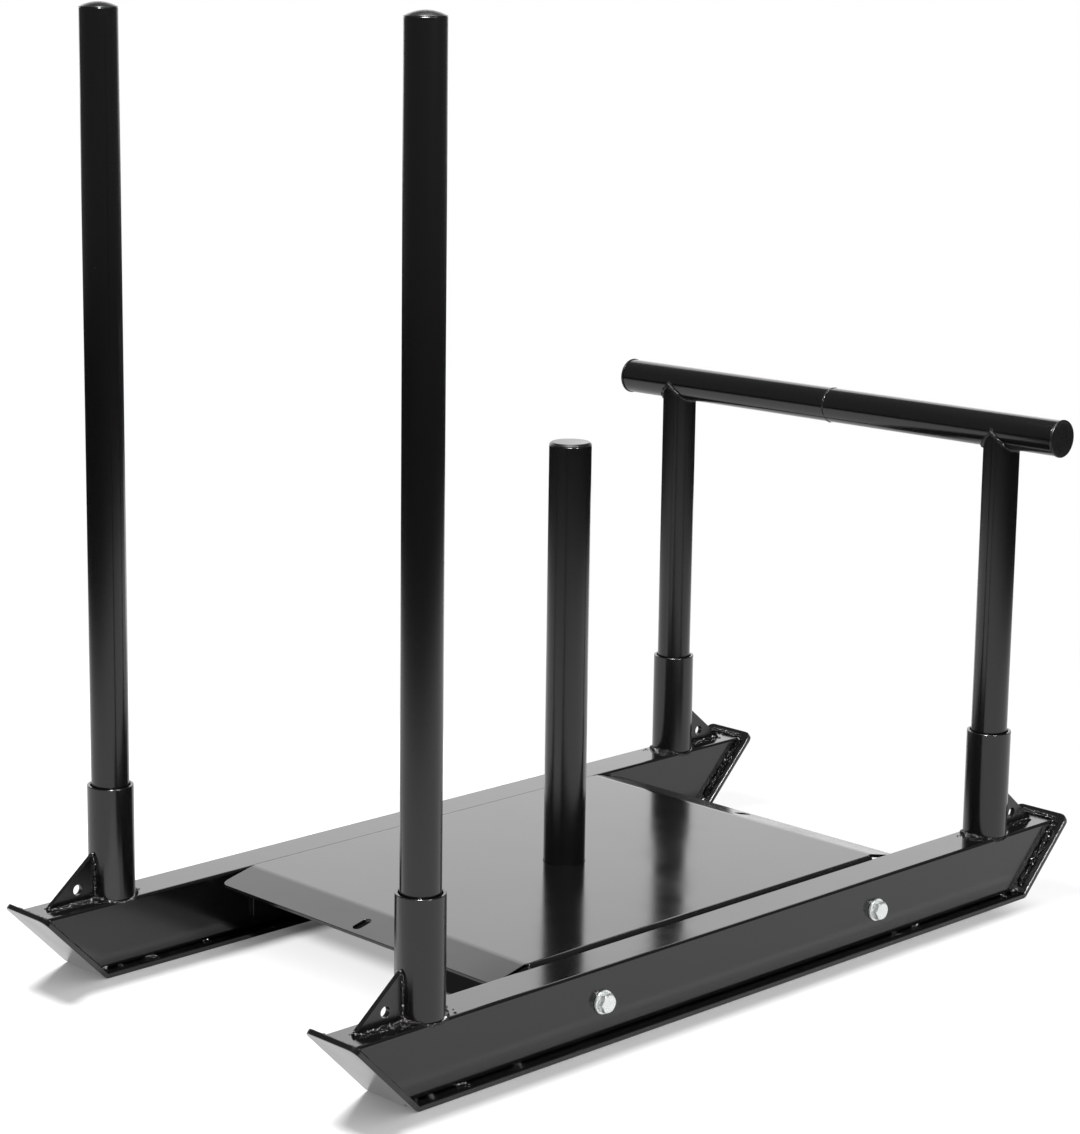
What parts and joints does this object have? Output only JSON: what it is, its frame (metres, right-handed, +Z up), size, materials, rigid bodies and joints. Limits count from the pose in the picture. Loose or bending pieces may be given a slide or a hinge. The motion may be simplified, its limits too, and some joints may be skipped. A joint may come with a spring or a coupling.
{
  "type": "weight sled",
  "caption": "Weight sled on two steel skid runners, with a bolted deck and post for weight plates, two lift-out push poles at one end and a low push bar at the other.",
  "frame": {"origin": "on the ground, at the centre of the sled between its four lips", "axes": "+Z up; +Y along the runners, from the two tall poles to the low push bar; +X to the right runner"},
  "size_m": [0.6796, 1.1686, 1.0679],
  "materials": {
    "black_powder_coat": "smooth satin to gloss black powder coat on welded mild steel",
    "deck_powder_coat": "smooth glossy black powder coat on bent steel sheet",
    "pole_powder_coat": "satin to gloss black powder coat on round steel tube",
    "cap_black": "satin black end cap",
    "zinc_plate": "bright zinc plate"
  },
  "bodies": {
    "sled": {"left_runner_beam": "black_powder_coat", "left_runner_skid": "black_powder_coat", "left_pole_socket": "black_powder_coat", "left_pole_gusset": "black_powder_coat", "left_bar_socket": "black_powder_coat", "left_bar_gusset": "black_powder_coat", "right_runner_beam": "black_powder_coat", "right_runner_skid": "black_powder_coat", "right_pole_socket": "black_powder_coat", "right_pole_gusset": "black_powder_coat", "right_bar_socket": "black_powder_coat", "right_bar_gusset": "black_powder_coat", "deck": "deck_powder_coat", "weight_post": "pole_powder_coat", "weight_post_cap": "cap_black", "left_pole_deck_bolt": "zinc_plate", "left_pole_deck_outer_washer": "zinc_plate", "left_pole_deck_inner_washer": "zinc_plate", "left_pole_deck_nut": "zinc_plate", "left_bar_deck_bolt": "zinc_plate", "left_bar_deck_outer_washer": "zinc_plate", "left_bar_deck_inner_washer": "zinc_plate", "left_bar_deck_nut": "zinc_plate", "right_pole_deck_bolt": "zinc_plate", "right_pole_deck_outer_washer": "zinc_plate", "right_pole_deck_inner_washer": "zinc_plate", "right_pole_deck_nut": "zinc_plate", "right_bar_deck_bolt": "zinc_plate", "right_bar_deck_outer_washer": "zinc_plate", "right_bar_deck_inner_washer": "zinc_plate", "right_bar_deck_nut": "zinc_plate"},
    "left_pole": {"left_push_pole": "pole_powder_coat", "left_push_pole_cap": "cap_black"},
    "right_pole": {"right_push_pole": "pole_powder_coat", "right_push_pole_cap": "cap_black"},
    "push_bar": {"push_bar_grip": "pole_powder_coat", "left_push_bar_leg": "pole_powder_coat", "right_push_bar_leg": "pole_powder_coat", "left_push_bar_cap": "cap_black", "right_push_bar_cap": "cap_black"}
  },
  "joints": [
    {"name": "left_pole_slide", "type": "slide", "parent": "sled", "child": "left_pole", "axis": [0, 0, 1], "range_m": [0, 0.14]},
    {"name": "right_pole_slide", "type": "slide", "parent": "sled", "child": "right_pole", "axis": [0, 0, 1], "range_m": [0, 0.14]},
    {"name": "push_bar_slide", "type": "slide", "parent": "sled", "child": "push_bar", "axis": [0, 0, 1], "range_m": [0, 0.14]}
  ]
}
